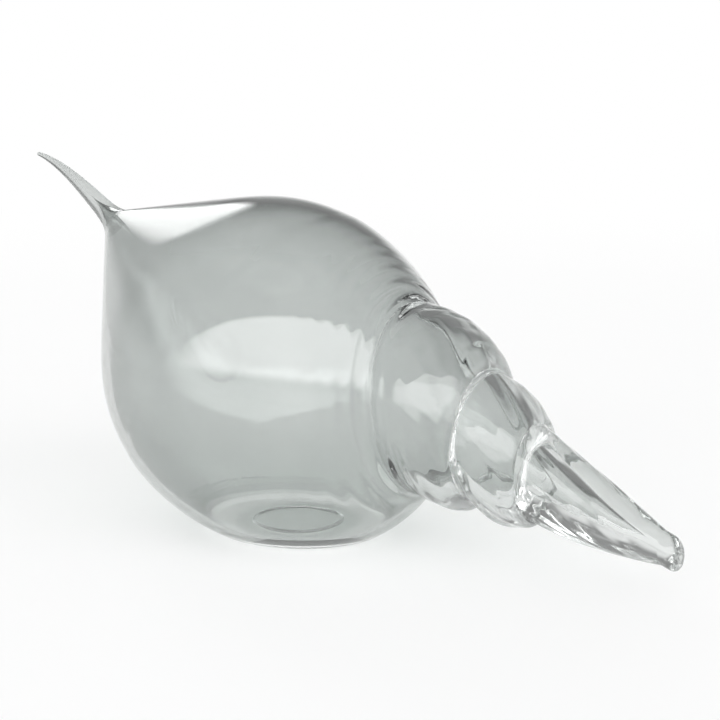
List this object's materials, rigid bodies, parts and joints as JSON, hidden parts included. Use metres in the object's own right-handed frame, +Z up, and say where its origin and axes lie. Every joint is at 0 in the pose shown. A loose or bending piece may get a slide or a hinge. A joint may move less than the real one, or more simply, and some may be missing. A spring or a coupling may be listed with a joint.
{
  "type": "glass shell sculpture",
  "caption": "Clear blown glass sea-shell ornament: hollow egg bulb on a flat base, a curved drawn spike at one end and a spire of whorls ending in a nib at the other.",
  "frame": {"origin": "on the table, under the middle of the sculpture's length", "axes": "+Z up, +X along the length towards the spire's nib, y = 0 is the plane of symmetry"},
  "size_m": [0.3486, 0.158, 0.1695],
  "materials": {
    "thin_glass": "clear fire-polished blown glass with a faint grey-green cast",
    "thick_glass": "clear fire-polished solid glass, a little deeper in colour"
  },
  "bodies": {
    "root": {"body_bulb": "thin_glass", "base_pad": "thick_glass", "siphon_spike": "thick_glass", "shoulder_whorl": "thin_glass", "second_whorl": "thin_glass", "spire_cone": "thick_glass", "tip_nib": "thick_glass"}
  },
  "joints": []
}
